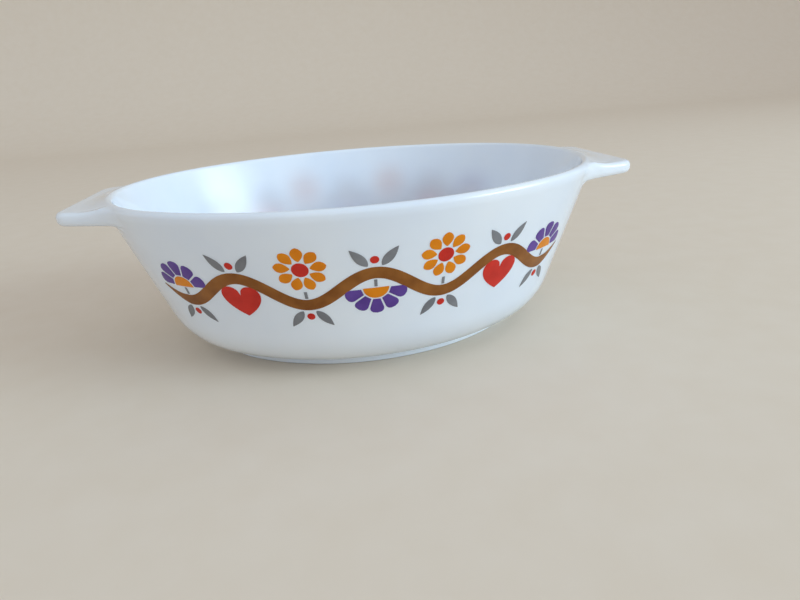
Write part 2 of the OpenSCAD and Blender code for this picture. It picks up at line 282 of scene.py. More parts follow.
@dataclass(frozen=True)
class Finish:
    """A fired finish: two close tones, a gloss and a slight unevenness."""

    name: str
    main_tone: str
    cloud_tone: str
    cloud_scale: float
    grain_scale: float
    roughness: float
    roughness_spread: float
    unevenness: float
    coat: float = 0.0
    # Colour attribute of a painted shadow that darkens the colour; empty for none.
    painted_shade_attribute: str = ""
    shader_values: dict[str, object] = field(default_factory=dict)

    def material(self) -> bpy.types.Material:
        """Make the material of this finish.

        Returns:
            The new material.
        """
        material = bpy.data.materials.new(self.name)
        material.use_nodes = True
        bench = NodeBench(material.node_tree)
        place = bench.add("ShaderNodeTexCoord").outputs["Object"]
        fired = bench.add("ShaderNodeGroup", {
            "Vector": place, "Main Tone": srgb(self.main_tone), "Cloud Tone": srgb(self.cloud_tone),
            "Cloud Scale": self.cloud_scale, "Roughness": self.roughness,
            "Roughness Spread": self.roughness_spread, "Grain Scale": self.grain_scale,
        }, node_tree=FiredSurface.tree())
        colour = fired.outputs["Color"]
        # Painted shadow: the colour is multiplied by a colour attribute that darkens it where shade is painted.
        if self.painted_shade_attribute:
            tint = bench.add("ShaderNodeAttribute", attribute_name=self.painted_shade_attribute)
            colour = bench.mix(1.0, colour, tint.outputs["Color"], "MULTIPLY")
        bump = bench.add("ShaderNodeBump", {"Height": fired.outputs["Height"], "Strength": 1.0,
                                            "Distance": self.unevenness})
        inputs = {"Base Color": colour, "Roughness": fired.outputs["Roughness"], "Normal": bump.outputs["Normal"],
                  "Coat Weight": self.coat} | self.shader_values
        shader = bench.add("ShaderNodeBsdfPrincipled", inputs)
        bench.add("ShaderNodeOutputMaterial", {"Surface": shader.outputs["BSDF"]})
        return material


# Colour attribute that holds the print's shadow, painted onto the inside of the glass.
PAINTED_SHADE_LAYER = "painted_print_shadow"
OPAL_GLASS = Finish("opal_glass", main_tone="EAF1F9", cloud_tone="E2EBF6", cloud_scale=22.0, grain_scale=260.0,
                    roughness=0.06, roughness_spread=0.05, unevenness=0.004 * MM, painted_shade_attribute=PAINTED_SHADE_LAYER,
                    shader_values={"IOR": 1.5, "Subsurface Weight": 0.25, "Subsurface Scale": 3 * MM,
                                   "Subsurface Radius": (1.0, 0.92, 0.86)})


class Enamel(Enum):
    """The five printed colours: the record's slot, the tone and the tone where the print lies thicker."""

    VINE = ("enamel_brown", "965F28", "7E4A1A")
    LEAVES = ("enamel_grey", "84868A", "74757A")
    DAISIES = ("enamel_orange", "E58B12", "D97C0C")
    FANS = ("enamel_purple", "64479A", "573B8A")
    HEARTS = ("enamel_red", "D23327", "BE291F")

    def __init__(self, slot: str, tone: str, cloud: str) -> None:
        """Name the parts of a colour."""
        self.slot, self.tone, self.cloud = slot, tone, cloud

    @property
    def layer(self) -> str:
        """Name of the colour's layer in the print."""
        return self.name.lower()

    def finish(self) -> Finish:
        """Give the colour's finish, a glossy enamel that has sunk a little into the glass."""
        return Finish(self.slot, self.tone, self.cloud, cloud_scale=130.0, grain_scale=900.0, roughness=0.2,
                      roughness_spread=0.12, unevenness=0.006 * MM, coat=0.1,
                      shader_values={"Coat Roughness": 0.08, "Specular IOR Level": 0.15})


def soft_positive(value: Array, roll: float) -> Array:
    """Keep what is above zero, with a soft start that reaches as far as the roll to each side of zero."""
    return np.where(value > roll, value, np.clip(value + roll, 0, None) ** 2 / (4 * roll))


def soft_least(first: Array, second: Array, power: int = 4) -> Array:
    """Give about the lesser of two values above zero, with a change that is sharper for a higher power."""
    return first * second / np.maximum((first ** power + second ** power) ** (1 / power), NEARLY_ZERO)


@dataclass(frozen=True)
class Oval:
    """Plan of the rim: four arcs that meet smoothly, because their centres lie on 3-4-5 triangles."""

    half_length: float
    half_width: float
    end_half_angle: float = math.atan2(4, 3)

    @property
    def unit(self) -> float:
        """Unit of the triangles' sides."""
        return (self.half_length - self.half_width) / 2

    @property
    def end_centre(self) -> float:
        """Distance of an end arc's centre from the middle."""
        return 3 * self.unit

    @property
    def side_centre(self) -> float:
        """Distance of a side arc's centre from the middle."""
        return 4 * self.unit

    @property
    def end_radius(self) -> float:
        """Radius of the rim at its ends."""
        return self.half_length - self.end_centre

    @property
    def side_radius(self) -> float:
        """Radius of the rim along its sides."""
        return self.half_width + self.side_centre

    @property
    def side_half_angle(self) -> float:
        """Half of the angle that a side arc spans."""
        return math.pi / 2 - self.end_half_angle


@dataclass(frozen=True)
class WallSection:
    """Section of the wall, as offsets from the outside of the rim (inwards is negative) and heights."""

    height: float
    taper: float = 19.5
    heel_radius: float = 29 * MM
    wall: float = 4 * MM
    floor_height: float = 6.2 * MM
    foot_height: float = 2.2 * MM
    foot_spread: float = 7 * MM
    foot_land: float = 7 * MM
    foot_slope: float = 2.5 * MM
    foot_recess: float = 1.5 * MM
    foot_round: float = 0.8 * MM
    foot_hollow: float = 1.6 * MM
    foot_steps: int = 6
    floor_lap: float = 8 * MM
    collar_height: float = 3 * MM
    collar_bend: float = 0.5 * MM
    arc_steps: int = 18
    wall_rows: int = 10
    collar_rows: int = 7

    @property
    def slope(self) -> float:
        """Run of the wall for each unit of height."""
        return math.tan(math.radians(self.taper))

    @property
    def lean(self) -> float:
        """Cosine of the wall's taper."""
        return math.cos(math.radians(self.taper))

    @property
    def collar_foot(self) -> float:
        """Height of the collar's lower edge."""
        return self.height - self.collar_height

    @property
    def crown_radius(self) -> float:
        """Radius of the rim's rounded top, which touches the collar outside and the wall inside."""
        room = self.wall / self.lean - self.collar_height * self.slope
        return room / (1 + 1 / self.lean - self.slope)

    @property
    def crown_centre(self) -> tuple[float, float]:
        """Middle of the rim's rounded top."""
        return -self.crown_radius, self.height - self.crown_radius

    def wall_line(self, z: Array | float) -> Array | float:
        """Offset of the straight outer wall at a height."""
        return (z - self.collar_foot) * self.slope

    @property
    def heel_centre(self) -> tuple[float, float]:
        """Middle of the outer curve from wall to base."""
        z = self.foot_height + self.heel_radius
        return self.wall_line(z) - self.heel_radius / self.lean, z

    @property
    def inner_heel_centre(self) -> tuple[float, float]:
        """Middle of the inner curve from wall to floor."""
        z = self.floor_height + self.heel_radius - self.wall
        return self.wall_line(z) - self.heel_radius / self.lean, z

    @property
    def foot_edge(self) -> float:
        """Offset of the foot ring's outer side."""
        return self.heel_centre[0] + self.foot_spread

    @property
    def foot_inner(self) -> float:
        """Offset of the inner edge of the ring's standing face."""
        return self.foot_edge - self.foot_land

    @property
    def floor_edge(self) -> float:
        """Offset at which the flat of the floor begins."""
        return self.foot_inner - self.foot_slope - self.floor_lap

    def outer(self, z: Array) -> Array:
        """Give the outer face from the heel up to the rim's widest place.

        Args:
            z: Heights.

        Returns:
            The offset at each height, with the wall bent softly into the upright collar.
        """
        line = -soft_positive(-self.wall_line(z), self.collar_bend)
        over = np.clip(z - self.crown_centre[1], 0, self.crown_radius)
        return line + np.sqrt(self.crown_radius ** 2 - over ** 2) - self.crown_radius

    def rows(self, tab_heights: Array) -> Array:
        """Lay out the section from the underside, round the outside and over the rim to the floor.

        Args:
            tab_heights: Heights of the rows that the tabs are drawn out of.

        Returns:
            One row of offset and height for each point.
        """
        base = np.array([[self.floor_edge, self.foot_recess],
                         [self.foot_inner - self.foot_slope, self.foot_recess],
                         [self.foot_inner, 0.0]])
        to_hollow = self.heel_radius + self.foot_hollow
        heel_start = math.degrees(math.asin((self.foot_spread + self.foot_hollow) / to_hollow)) - 90
        hollow_centre = arc(self.heel_centre, to_hollow, heel_start, heel_start, 0)[0]
        foot = np.vstack([
            arc((self.foot_edge - self.foot_round, self.foot_round), self.foot_round, -90, 0, self.foot_steps),
            arc(hollow_centre, self.foot_hollow, 180, heel_start + 180, self.foot_steps)])
        heel = arc(self.heel_centre, self.heel_radius, heel_start, -self.taper, self.arc_steps)[1:]
        wall = np.linspace(heel[-1, 1], tab_heights[0], self.wall_rows + 1)[1:-1]
        collar = self.collar_foot + self.collar_bend / self.slope * np.linspace(-1, 1, self.collar_rows)
        heights = np.unique(np.concatenate([wall, tab_heights, collar]))
        outside = np.column_stack([self.outer(heights), heights])
        start = math.degrees(math.asin((heights[-1] - self.crown_centre[1]) / self.crown_radius))
        crown = arc(self.crown_centre, self.crown_radius, start, 180 - self.taper, self.arc_steps)[1:]
        inner_heel = arc(self.inner_heel_centre, self.heel_radius - self.wall, -self.taper, -90, self.arc_steps)
        inside = np.linspace(crown[-1], inner_heel[0], self.wall_rows + 1)[1:-1]
        floor = [[self.floor_edge, self.floor_height]]
        return np.vstack([base, foot, heel, outside, crown, inside, inner_heel, floor])


@dataclass(frozen=True)
class TabHandle:
    """One tab: a plate with a rounded edge, whose top sweeps up to the rim and whose edge climbs with it."""

    oval: Oval
    section: WallSection
    tip: float
    top: float
    width: float = 65 * MM
    splay: float = math.radians(22)
    corner: float = 7.5 * MM
    thickness: float = 5.4 * MM
    under_fillet: float = 2 * MM
    top_fillet: float = 26 * MM
    side_roll: float = 5 * MM
    edge_power: float = 2.5
    dip: float = 0.06 * MM
    dip_shares: tuple[float, ...] = (0.0, 0.12, 0.88, 1.0)
    edge_steps: int = 16
    fillet_steps: int = 8
    sweep_steps: int = 20

    @property
    def under(self) -> float:
        """Height of the tab's underside."""
        return self.top - self.thickness

    def heights(self) -> Array:
        """Give the heights of the rows that the tab is drawn out of.

        Returns:
            Heights from the foot of the lower fillet to the end of the sweep.
        """
        quarter = 1 - np.sin(np.linspace(0, math.pi / 2, self.fillet_steps + 1))
        flat = np.array(self.dip_shares) * self.dip
        half_turn = np.linspace(0, math.pi, self.edge_steps + 1)
        last = math.acos((self.sweep_centre[1] - self.sweep_end) / self.top_fillet)
        rise = np.linspace(0, last, self.sweep_steps + 1)
        return np.unique(np.concatenate([
            self.under - self.dip - self.under_fillet * quarter,
            self.under - flat,
            self.under + self.thickness / 2 * (1 - np.cos(half_turn)),
            self.top + flat,
            self.top + self.dip + self.top_fillet * (1 - np.cos(rise))]))

    @property
    def sweep_centre(self) -> tuple[float, float]:
        """Find the middle of the sweep from the tab's top up to the rim's rounded top.

        Returns:
            Its offset and its height.
        """
        crown_x, crown_z = self.section.crown_centre
        z = self.top + self.dip + self.top_fillet
        apart = self.top_fillet + self.section.crown_radius
        return crown_x + math.sqrt(apart ** 2 - (z - crown_z) ** 2), z

    @property
    def sweep_end(self) -> float:
        """Height at which the sweep touches the rim's rounded top."""
        crown_z, crown = self.section.crown_centre[1], self.section.crown_radius
        return crown_z + crown * (self.sweep_centre[1] - crown_z) / (self.top_fillet + crown)

    def sweep(self, z: Array) -> Array:
        """Give the offset of the sweep at heights above the tab's top."""
        x, middle = self.sweep_centre
        return x - np.sqrt(self.top_fillet ** 2 - np.clip(middle - z, 0, self.top_fillet) ** 2)

    def crest(self, angle: Array) -> Array:
        """Give the height of the tab's top along its edge, which climbs with the sweep towards the rim.

        Args:
            angle: Directions about the end arc's centre, none below zero.

        Returns:
            Height of the edge in each direction.
        """
        x, middle = self.sweep_centre
        offset = np.clip(self.reach(angle, self.thickness / 2) - self.oval.end_radius, 0, x)
        return middle - self.dip - np.sqrt(self.top_fillet ** 2 - (x - offset) ** 2)

    def reach(self, angle: Array, inset: Array | float) -> Array:
        """Give the tab's outline about the end arc's centre.

        Args:
            angle: Directions from the tab's middle line, none below zero.
            inset: How far the outline is drawn in.

        Returns:
            Distance of the outline in each direction.
        """
        along = self.tip - self.oval.end_centre - self.corner
        across = self.width / 2 - self.corner
        radius = self.corner - inset
        sine, cosine = math.sin(self.splay), math.cos(self.splay)
        edge = (along + radius) / np.cos(angle)
        side = (along * sine + across * cosine + radius) / np.sin(angle + self.splay)
        toward = along * np.cos(angle) + across * np.sin(angle)
        room = toward ** 2 - along ** 2 - across ** 2 + radius ** 2
        bend = toward + np.sqrt(np.clip(room, 0, None))
        edge_end = np.arctan2(across, along + radius)
        side_start = np.arctan2(across + radius * cosine, along + radius * sine)
        return np.where(angle < edge_end, edge, np.where(angle < side_start, bend, side))

    def swell(self, angle: Array, z: Array) -> Array:
        """Give how far the tab stands out of the wall.

        Args:
            angle: Directions about the end arc's centre, none below zero.
            z: Heights.

        Returns:
            Distance from the bare wall to the tab's surface.
        """
        half = self.thickness / 2
        wall = self.section.outer(z)
        wall_radius = self.oval.end_radius + wall
        crest = self.crest(angle)
        middle = (self.under + crest) / 2
        lift = np.clip(np.abs(z - middle) / (crest - middle), 0, 1)
        inset = half * (1 - (1 - lift ** self.edge_power) ** (1 / self.edge_power))
        edge = soft_positive(self.reach(angle, inset) - wall_radius, self.side_roll)
        flat = soft_positive(self.reach(angle, half) - wall_radius, self.side_roll)

        def shoulder(fillet: Array, beyond: Array) -> Array:
            """Give the flat and the fillet that follows it, by the distance past the tab's face."""
            share = np.clip(beyond / self.dip, 0, 1)
            return flat * (1 - share) + soft_least(fillet, flat) * share

        down = np.clip(self.under - self.dip - z, 0, self.under_fillet)
        under = self.under_fillet - np.sqrt(self.under_fillet ** 2 - (self.under_fillet - down) ** 2)
        over = np.clip(self.sweep(z) - wall, 0, None)
        return np.where(z < self.under, shoulder(under, self.under - z),
                        np.where(z > crest, shoulder(over, z - crest), edge))


@dataclass(frozen=True)
class Turn:
    """One spin of the section about an upright axis."""

    centre: tuple[float, float]
    angle: float
    steps: int


@dataclass
class Dish:
    """The pressed glass: bowl, collar, floor and two tabs in one piece."""

    oval: Oval
    section: WallSection
    tab: TabHandle
    tab_span: float = math.radians(45)
    tab_steps: int = 80
    end_steps: int = 8
    side_steps: int = 31
    merge: float = 0.004 * MM
    crease: float = math.radians(40)
    name: str = "opal_dish"

    def turns(self) -> list[Turn]:
        """Lay out the spins of a quarter of the oval, from the middle of a tab to the middle of a side."""
        end, side = (self.oval.end_centre, 0.0), (0.0, self.oval.side_centre)
        return [Turn(end, self.tab_span, self.tab_steps),
                Turn(end, self.oval.end_half_angle - self.tab_span, self.end_steps),
                Turn(side, self.oval.side_half_angle, self.side_steps)]

    def section_chain(self) -> Piece:
        """Make the section as a chain of edges, cut from a circle.

        Returns:
            The object whose mesh is the chain, standing at the end of the rim.
        """
        rows = self.section.rows(self.tab.heights())
        bpy.ops.mesh.primitive_circle_add(vertices=len(rows), radius=self.oval.end_radius)
        piece = bpy.context.object
        piece.name = piece.data.name = self.name
        put_places(piece.data, np.column_stack([rows[:, 0] + self.oval.half_length, np.zeros(len(rows)), rows[:, 1]]))
        floor_end = self.oval.half_length + self.section.floor_edge + self.merge
        select_edges(piece.data, lambda first, second: max(first.x, second.x) < floor_end)
        with edit_mode(piece, everything=False):
            bpy.ops.mesh.delete(type="EDGE")
        return piece

    def draw_out_tabs(self, mesh: bpy.types.Mesh) -> None:
        """Draw the tabs out of the outer wall at both ends.

        Args:
            mesh: The mesh of the dish without tabs.
        """
        places = places_of(mesh)
        heights = self.tab.heights()
        for end in (1, -1):
            x = end * places[:, 0] - self.oval.end_centre
            radius = np.hypot(x, places[:, 1])
            angle = np.arctan2(np.abs(places[:, 1]), x)
            z = places[:, 2]
            wall = self.oval.end_radius + self.section.outer(z)
            outside = (np.abs(radius - wall) < self.merge) & (angle < self.oval.end_half_angle)
            outside &= (z > heights[0]) & (z < heights[-1])
            swell = self.tab.swell(angle[outside], z[outside])
            places[outside, 0] += end * swell * x[outside] / radius[outside]
            places[outside, 1] += swell * places[outside, 1] / radius[outside]
        put_places(mesh, places)

    def build(self) -> Piece:
        """Spin the section round a quarter, mirror it, close base and floor, and draw out the tabs.

        Returns:
            The dish.
        """
        piece = self.section_chain()
        with edit_mode(piece):
            for turn in self.turns():
                bpy.ops.mesh.spin(steps=turn.steps, angle=turn.angle, center=(*turn.centre, 0.0), axis=UP)
        apply_modifier(piece, "MIRROR", use_axis=(True, True, False), merge_threshold=self.merge)
        with edit_mode(piece):
            bpy.ops.mesh.remove_doubles(threshold=self.merge)
            bpy.ops.mesh.fill_holes(sides=0)
            bpy.ops.mesh.select_all(action="SELECT")
            bpy.ops.mesh.normals_make_consistent(inside=False)
        self.draw_out_tabs(piece.data)
        take_up(piece)
        bpy.ops.object.shade_smooth_by_angle(angle=self.crease)
        apply_modifier(piece, "WEIGHTED_NORMAL", keep_sharp=True)
        return piece

    def dress(self, piece: Piece, painted_shadows: list["PrintShadow"]) -> None:
        """Give the dish its glass, with the print's shadow painted faintly onto its inner face.

        Args:
            piece: The dish.
            painted_shadows: The shadow of each colour of the print, painted onto the glass.
        """
        places = places_of(piece.data)
        normals = read(piece.data.vertices, "normal", 3)
        inside = (places[:, :2] * normals[:, :2]).sum(1) < 0
        # Painted shadow: the inner face is darkened where the print on the far side of the wall takes out the light
        # that comes through.
        tint = np.ones((len(places), 4))
        for shadow in painted_shadows:
            tint[inside, :3] *= shadow.tint(places[inside])
        layer = piece.data.color_attributes.new(PAINTED_SHADE_LAYER, "FLOAT_COLOR", "POINT")
        layer.data.foreach_set("color", tint.astype(np.float32).ravel())
        piece.data.materials.clear()
        piece.data.materials.append(OPAL_GLASS.material())
        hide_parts("dish")
        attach(piece, BODY)


@dataclass
class PrintShadow:
    """What one colour of the print takes out of the light that comes through the wall, painted as shade on the inner
    face.
    """

    centres: Array
    areas: Array
    colour: Array
    depth: float
    blur: float = 4.5 * MM
    strength: float = 0.4
    batch: int = 500

    def tint(self, places: Array) -> Array:
        """Give the painted shadow on the inner face.

        Args:
            places: Points of the inner face.

        Returns:
            Red, green and blue shares that the light keeps at each point.
        """
        full = 2 * math.pi * self.blur ** 2 * math.exp(-self.depth ** 2 / (2 * self.blur ** 2))
        cover = np.zeros(len(places))
        for start in range(0, len(places), self.batch):
            some = places[start:start + self.batch]
            far = (some ** 2).sum(1)[:, None] + (self.centres ** 2).sum(1) - 2 * some @ self.centres.T
            cover[start:start + self.batch] = np.exp(-far / (2 * self.blur ** 2)) @ self.areas / full
        return 1 - self.strength * np.clip(cover, 0, 1)[:, None] * (1 - self.colour)


class Motif(Enum):
    """What stands at a half wave of the vine, repeating outwards from the middle one."""

    FAN = 0
    DAISY = 1
    HEART = 2


@dataclass(frozen=True)
class Band:
    """The flat band of the print and how it lies on the wall: u along it, v up it, and a lift off the glass."""

    oval: Oval
    section: WallSection
    margin: float = 10 * MM
    height: float = 37 * MM
    pitch: float = 24.5 * MM
    pairs: int = 3
    swing: float = 6 * MM
    vine_width: float = 4.8 * MM
    gap: float = 0.5 * MM
    stem_length: float = 3 * MM
    stem_width: float = 1.1 * MM
    daisy_radius: float = 9 * MM
    daisy_eye: float = 2.9 * MM
    daisy_petals: int = 9
    petal_belt: float = 0.72
    petal_fullness: float = 1.25
    petal_roundness: float = 0.6
    fan_radius: float = 11.5 * MM
    fan_core: float = 4.6 * MM
    fan_blades: int = 5
    fan_shoulder: float = 0.55
    heart_width: float = 15.5 * MM
    heart_depth: float = 0.62
    heart_gap: float = 0.75 * MM
    leaf_length: float = 9 * MM
    leaf_width: float = 3.4 * MM
    leaf_fullness: float = 0.8
    leaf_roundness: float = 0.85
    leaf_lean: float = math.radians(38)
    leaf_set: float = 2.4 * MM
    berry_radius: float = 1.5 * MM
    berry_gap: float = 1 * MM
    vine_tip: float = 0.15

    @property
    def rows(self) -> range:
        """Numbers of the half waves, with the middle one at zero."""
        return range(-self.pairs, self.pairs + 1)

    def rows_of(self, *motifs: Motif) -> list[int]:
        """Numbers of the half waves that hold one of these motifs."""
        return [row for row in self.rows if Motif(abs(row) % len(Motif)) in motifs]

    @property
    def middle(self) -> float:
        """Distance from the collar down to the middle of the band, along the wall."""
        return self.margin + self.height / 2

    @staticmethod
    def upward(row: int) -> int:
        """Side of the vine on which a row's motif stands: 1 above it, -1 below it."""
        return -1 if row % 2 == 0 else 1

    def facing(self, row: int) -> float:
        """Turn of a motif that faces away from the vine."""
        return 0.0 if self.upward(row) > 0 else math.pi

    def beside_vine(self, row: int, side: int, lift: float) -> Vector:
        """Point beside the vine at the middle of a row."""
        v = side * (self.vine_width / 2 + self.gap + lift) - self.upward(row) * self.swing
        return Vector((row * self.pitch, v, 0))

    def motif_at(self, row: int, lift: float) -> Vector:
        """Point on the motif's side of the vine."""
        return self.beside_vine(row, self.upward(row), lift)

    def crest_at(self, row: int, lift: float) -> Vector:
        """Point on the outer side of the vine's crest."""
        return self.beside_vine(row, -self.upward(row), lift)

    def wrap(self, flat: Array) -> Array:
        """Lay flat points on the front wall.

        Args:
            flat: Rows of u, v and lift.

        Returns:
            Rows of x, y and z.
        """
        oval, section = self.oval, self.section
        u, v, lift = flat.T
        band_z = section.collar_foot - self.middle * section.lean
        offset = section.wall_line(band_z)
        side_reach = (oval.side_radius + offset) * oval.side_half_angle
        beyond = (np.abs(u) - side_reach) / (oval.end_radius + offset)
        on_side = beyond <= 0
        turn = np.where(on_side, u / side_reach * oval.side_half_angle, np.sign(u) * (oval.side_half_angle + beyond))
        z = section.collar_foot - (self.middle - v) * section.lean
        out = section.wall_line(z) + lift * section.lean + np.where(on_side, oval.side_radius, oval.end_radius)
        x = np.where(on_side, 0, np.sign(u) * oval.end_centre) + out * np.sin(turn)
        y = np.where(on_side, oval.side_centre, 0) - out * np.cos(turn)
        return np.column_stack([x, y, z - lift * section.slope * section.lean])


@dataclass
class EnamelPrint:
    """The fired band on both long sides, one layer for each colour."""

    band: Band
    clearance: float = 0.04 * MM
    thickness: float = 0.1 * MM
    rim_share: float = 0.25
    across_steps: int = 8
    blade_steps: int = 24
    disc_steps: int = 32
    heart_steps: int = 48
    vine_steps: int = 28
    end_power: float = 0.25
    point: float = 0.08 * MM
    crease: float = math.radians(55)
    shadow_stride: int = 11

    def patch(self, name: str, steps: int, low: Curve, high: Curve) -> Piece:
        """Model one flat patch of enamel, swelling from its edges to its middle.

        Args:
            name: Name of the patch.
            steps: Number of steps along it.
            low: Gives the lower edge's points for shares of the length.
            high: Gives the upper edge's points for shares of the length.

        Returns:
            The patch, lying flat with its lift along Z.
        """
        bpy.ops.mesh.primitive_grid_add(x_subdivisions=steps, y_subdivisions=self.across_steps, size=1)
        piece = bpy.context.object
        piece.name = name
        with edit_mode(piece):
            bpy.ops.mesh.extrude_region_move(TRANSFORM_OT_translate={"value": UP})
            bpy.ops.mesh.select_all(action="SELECT")
            bpy.ops.mesh.normals_make_consistent(inside=False)
        unit = places_of(piece.data)
        share = np.clip(unit[:, 0] + 0.5, 0, 1)
        across = 0.5 - 0.5 * np.cos(math.pi * np.clip(unit[:, 1] + 0.5, 0, 1))
        flat = low(share) * (1 - across)[:, None] + high(share) * across[:, None]
        swell = np.sqrt(np.clip(np.sin(math.pi * across), 0, 1))
        swell *= np.clip(np.sin(math.pi * share), 0, 1) ** self.end_power
        top = self.clearance + self.thickness * (self.rim_share + (1 - self.rim_share) * swell)
        lift = np.where(unit[:, 2] > 0.5, top, self.clearance)
        put_places(piece.data, np.column_stack([flat, lift]))
        return piece

    def blade(self, name: str, length: float, half_width: Curve) -> Piece:
        """Model a patch along a straight line from the origin.

        Args:
            name: Name of the patch.
            length: Length of the line, along U.
            half_width: Gives the half width for shares of the length.

        Returns:
            The flat patch.
        """
        def edge(side: int, s: Array) -> Array:
            """Give the edge on one side of the line."""
            return np.column_stack([length * s, side * np.maximum(self.point, half_width(s))])

        return self.patch(name, self.blade_steps, partial(edge, -1), partial(edge, 1))

    def disc(self, name: str, radius: float, lower: float = -1.0) -> Piece:
        """Model a disc about the origin, or the upper half of one.

        Args:
            name: Name of the patch.
            radius: Radius of the disc.
            lower: Share of the lower half that stays: -1 for a disc, 0 for a half disc.

        Returns:
            The flat patch.
        """
        def edge(side: float, s: Array) -> Array:
            """Give the lower or the upper edge."""
            return np.column_stack([-radius * np.cos(math.pi * s),
                                    side * np.maximum(self.point, radius * np.sin(math.pi * s))])

        return self.patch(name, self.disc_steps, partial(edge, lower), partial(edge, 1.0))

    def heart(self) -> Piece:
        """Model a heart with its cleft at the origin and its point upwards.

        Returns:
            The flat patch.
        """
        half = self.band.heart_width / 2
        lobe = half / 2
        length = self.band.heart_width * self.band.heart_depth

        def across(s: Array) -> Array:
            """Give the place across the heart."""
            return -half * np.cos(math.pi * s)

        def near(s: Array) -> Array:
            """Give the edge of the two lobes."""
            u = across(s)
            return np.column_stack([u, lobe - np.sqrt(np.clip(lobe ** 2 - (np.abs(u) - lobe) ** 2, 0, None))])

        def far(s: Array) -> Array:
            """Give the edge that runs out to the point."""
            drop = length * np.sqrt(np.clip(1 - np.abs(across(s)) / half, 0, None))
            return np.column_stack([across(s), lobe + np.maximum(self.point, drop)])

        return self.patch("heart", self.heart_steps, near, far)

    def vine(self) -> list[Piece]:
        """Model the wavy vine along the whole band.

        Returns:
            The one flat patch.
        """
        band = self.band
        end = (band.pairs + 0.5) * band.pitch

        def edge(side: int, s: Array) -> Array:
            """Give the vine's edge on one side of its middle line.

            Args:
                side: 1 above the line, -1 below it.
                s: Shares of the length.

            Returns:
                Rows of u and v.
            """
            u = end * (2 * s - 1)
            slope = -band.swing * math.pi / band.pitch * np.sin(math.pi * u / band.pitch)
            swell = np.minimum(1, band.vine_tip + (end - np.abs(u)) / (band.pitch / 2))
            half = side * band.vine_width / 2 * swell / np.hypot(slope, 1)
            return np.column_stack([u - slope * half, band.swing * np.cos(math.pi * u / band.pitch) + half])

        return [self.patch("vine", self.vine_steps * len(band.rows), partial(edge, -1), partial(edge, 1))]

    @staticmethod
    def set_out(shape: Piece, places: list[tuple[Vector, float]]) -> list[Piece]:
        """Copy a shape to its places.

        Args:
            shape: The shape to copy, which is used up.
            places: Where each copy goes, and how far it is turned about the origin.

        Returns:
            The copies, each with its own mesh.
        """
        copies = []
        for at, turn in places:
            mesh = shape.data.copy()
            mesh.transform(Matrix.Translation(at) @ Matrix.Rotation(turn, 4, "Z"))
            copies.append(bpy.data.objects.new(shape.name, mesh))
            bpy.context.scene.collection.objects.link(copies[-1])
        bpy.data.objects.remove(shape)
        return copies

    @staticmethod
    def lens(width: float, fullness: float, roundness: float) -> Curve:
        """Give the half width of a leaf or petal, by where it is widest and how round its ends are."""
        return lambda s: width / 2 * np.clip(np.sin(math.pi * s ** fullness), 0, 1) ** roundness

    def leaves(self) -> list[Piece]:
        """Model two leaves on each crest, and the stems of daisies and fans.

        Returns:
            The flat patches.
        """
        band = self.band
        outline = self.lens(band.leaf_width, band.leaf_fullness, band.leaf_roundness)
        leaf = self.blade("leaf", band.leaf_length, outline)
        stem = self.blade("stem", band.stem_length, lambda s: np.full_like(s, band.stem_width / 2))
        leaves = [(band.crest_at(row, 0) + Vector((side * band.leaf_set, 0, 0)),
                   math.atan2(-band.upward(row) * math.cos(band.leaf_lean), side * math.sin(band.leaf_lean)))
                  for row in band.rows for side in (-1, 1)]
        stems = [(band.motif_at(row, 0), band.upward(row) * math.pi / 2)
                 for row in band.rows_of(Motif.FAN, Motif.DAISY)]
        return self.set_out(leaf, leaves) + self.set_out(stem, stems)

    def daisy_middle(self, row: int) -> Vector:
        """Middle of a row's daisy."""
        return self.band.motif_at(row, self.band.stem_length + self.band.gap + self.band.daisy_radius)

    def fan_foot(self, row: int) -> Vector:
        """Middle of the flat side of a row's fan."""
        return self.band.motif_at(row, self.band.stem_length + self.band.gap)

    def daisies(self) -> list[Piece]:
        """Model the petals of the daisies and the half discs of the fans.

        Returns:
            The flat patches.
        """
        band = self.band
        foot = band.daisy_eye + band.gap
        width = 2 * math.pi * band.daisy_radius * band.petal_belt / band.daisy_petals - band.gap
        outline = self.lens(width, band.petal_fullness, band.petal_roundness)
        petal = self.blade("petal", band.daisy_radius - foot, outline)
        turns = [math.pi / 2 + 2 * math.pi * i / band.daisy_petals for i in range(band.daisy_petals)]
        petals = [(self.daisy_middle(row) + polar(foot, turn), turn)
                  for row in band.rows_of(Motif.DAISY) for turn in turns]
        core = self.disc("fan_core", band.fan_core, lower=0.0)
        cores = [(self.fan_foot(row), band.facing(row)) for row in band.rows_of(Motif.FAN)]
        return self.set_out(petal, petals) + self.set_out(core, cores)

    def fans(self) -> list[Piece]:
        """Model the blades of the fans.

        Returns:
            The flat patches.
        """
        band = self.band
        sweep = math.pi / band.fan_blades
        foot = band.fan_core + band.gap
        length = band.fan_radius - foot

        def half_width(s: Array) -> Array:
            """Give the half width of a wedge with a round tip.

            Args:
                s: Shares of the length.

            Returns:
                The half width at each share.
            """
            wedge = (foot + length * s) * math.sin(sweep / 2) - band.gap / 2
            past = np.clip(s - band.fan_shoulder, 0, None) / (1 - band.fan_shoulder)
            return wedge * np.sqrt(np.clip(1 - past ** 2, 0, None))

        blade = self.blade("fan_blade", length, half_width)
        turns = [(row, band.upward(row) * (i + 0.5) * sweep)
                 for row in band.rows_of(Motif.FAN) for i in range(band.fan_blades)]
        return self.set_out(blade, [(self.fan_foot(row) + polar(foot, turn), turn) for row, turn in turns])

